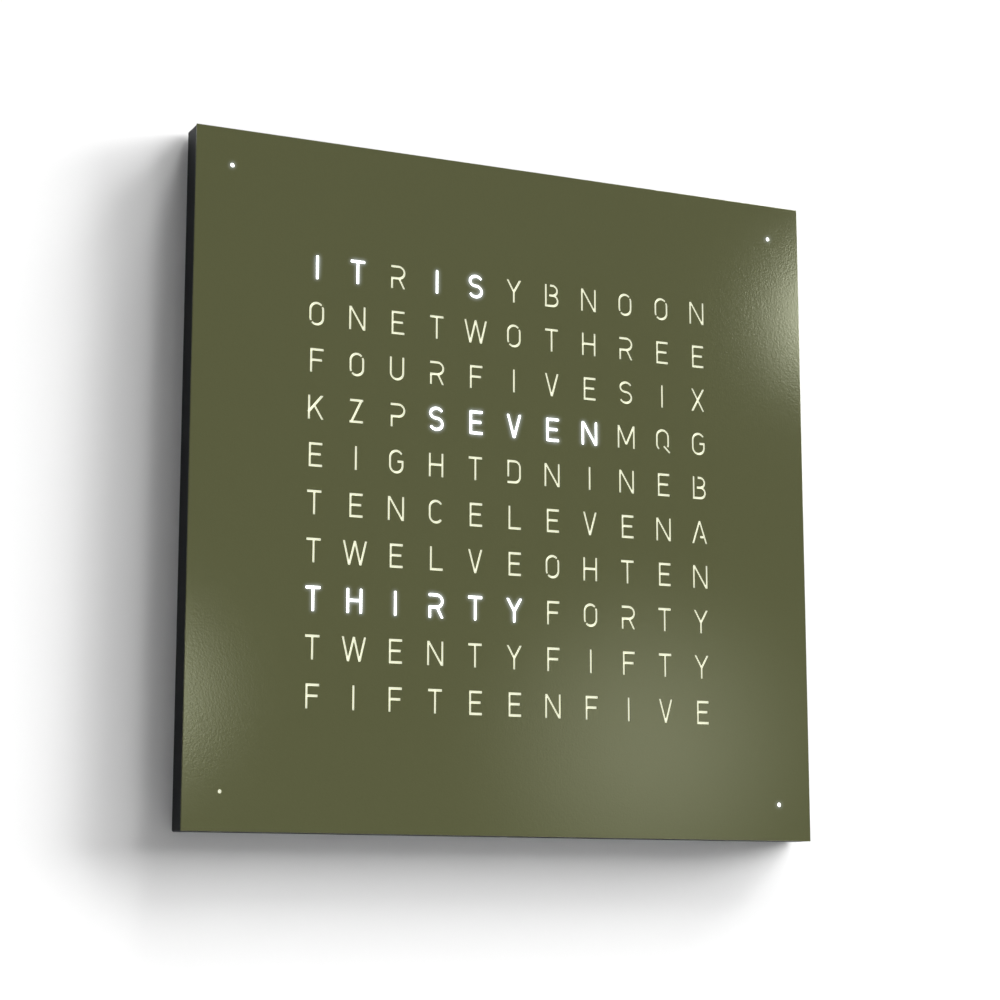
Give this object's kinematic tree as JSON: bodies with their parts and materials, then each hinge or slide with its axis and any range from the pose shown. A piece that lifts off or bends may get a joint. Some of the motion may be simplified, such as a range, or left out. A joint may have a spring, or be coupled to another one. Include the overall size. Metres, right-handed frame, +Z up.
{
  "type": "word clock",
  "caption": "Square wall clock that tells the time in lit words: magnetic steel front, light chambers, side push buttons and a hook-on wall bracket.",
  "frame": {"origin": "middle of the wall bracket's screw line, on the wall plane at the rear of the bracket", "axes": "+X to the right as seen from the front, +Y into the wall, +Z up; the front faces -Y"},
  "size_m": [0.4508, 0.02, 0.45],
  "materials": {
    "black_back": "near-black moulded panel, fine texture",
    "black_casing": "near-black moulded casing, satin",
    "black_chip": "moulded chip packages",
    "black_rubber": "soft black rubber",
    "bright_steel": "bright steel",
    "button_black": "near-black push buttons, satin",
    "cable_black": "black round cable",
    "cable_grey": "grey flat cable",
    "copper_coil": "enamelled copper winding",
    "ferrite": "grey sintered ferrite",
    "green_board": "green solder-masked circuit board",
    "led_package": "white light-emitting diodes",
    "nickel_magnet": "nickel-plated magnets",
    "nylon_spacer": "natural nylon",
    "olive_front": "fine powder coat on steel, satin",
    "opal_plastic": "opal light-diffusing plastic",
    "rivet_aluminium": "aluminium rivets",
    "screw_steel": "black zinc-plated screws",
    "white_board": "white solder-masked circuit board",
    "white_plastic": "white reflecting plastic",
    "zinc_steel": "zinc-plated pressed steel"
  },
  "bodies": {
    "wall_mounting": {"wall_bracket": "zinc_steel"},
    "casing": {"antenna_clips": "nylon_spacer", "antenna_coil": "copper_coil", "antenna_lead": "cable_black", "back_panel": "black_back", "back_panel_screws": "screw_steel", "board_nuts": "bright_steel", "board_screws": "screw_steel", "board_spacers": "nylon_spacer", "button_board": "green_board", "button_board_brackets": "nylon_spacer", "button_link": "cable_grey", "button_switches": "black_chip", "cable_plugs": "black_chip", "casing_frame": "black_casing", "cell_holder": "black_chip", "coin_cell": "bright_steel", "control_board": "green_board", "cover_magnets": "nickel_magnet", "diffuser_panel": "opal_plastic", "ferrite_rod": "ferrite", "hanger_pocket": "black_back", "hanger_rail": "zinc_steel", "hanger_rivets": "rivet_aluminium", "inlet_board": "green_board", "inlet_pocket": "black_back", "led_board": "white_board", "led_drivers": "black_chip", "light_grid": "white_plastic", "light_sensor": "black_chip", "matrix_leds": "led_package", "microcontroller": "black_chip", "minute_boards": "white_board", "minute_leds": "led_package", "minute_light_boxes": "white_plastic", "minute_links": "cable_grey", "power_socket": "bright_steel", "radio_tuner": "black_chip", "receiver_board": "green_board", "receiver_cable": "cable_black", "ribbon_cable": "cable_grey", "short_screws": "screw_steel", "short_spacers": "nylon_spacer", "supply_cable": "cable_black", "voltage_regulator": "black_chip", "wall_bumpers": "black_rubber"},
    "cover": {"front_cover": "olive_front", "cover_pins": "bright_steel"},
    "battery_lid": {"battery_lid": "black_back"},
    "hour_button": {"hour_button": "button_black", "hour_button_plunger": "white_plastic"},
    "minute_button": {"minute_button": "button_black", "minute_button_plunger": "white_plastic"},
    "brightness_button": {"brightness_button": "button_black", "brightness_button_plunger": "white_plastic"}
  },
  "joints": [
    {"name": "lift_off_bracket", "type": "slide", "parent": "wall_mounting", "child": "casing", "axis": [0, 0, 1], "range_m": [0, 0.008]},
    {"name": "cover_pull_off", "type": "slide", "parent": "casing", "child": "cover", "axis": [0, -1, 0], "range_m": [0, 0.03]},
    {"name": "battery_lid_turn", "type": "hinge", "parent": "casing", "child": "battery_lid", "pos_m": [0.18188, 0, -0.134], "axis": [0, 1, 0], "range_deg": [0, 45]},
    {"name": "hour_button_press", "type": "slide", "parent": "casing", "child": "hour_button", "axis": [-1, 0, 0], "range_m": [0, 0.001], "stiffness_N_per_m": 1500, "springref_m": -0.0005},
    {"name": "minute_button_press", "type": "slide", "parent": "casing", "child": "minute_button", "axis": [-1, 0, 0], "range_m": [0, 0.001], "stiffness_N_per_m": 1500, "springref_m": -0.0005},
    {"name": "brightness_button_press", "type": "slide", "parent": "casing", "child": "brightness_button", "axis": [-1, 0, 0], "range_m": [0, 0.001], "stiffness_N_per_m": 1500, "springref_m": -0.0005}
  ]
}
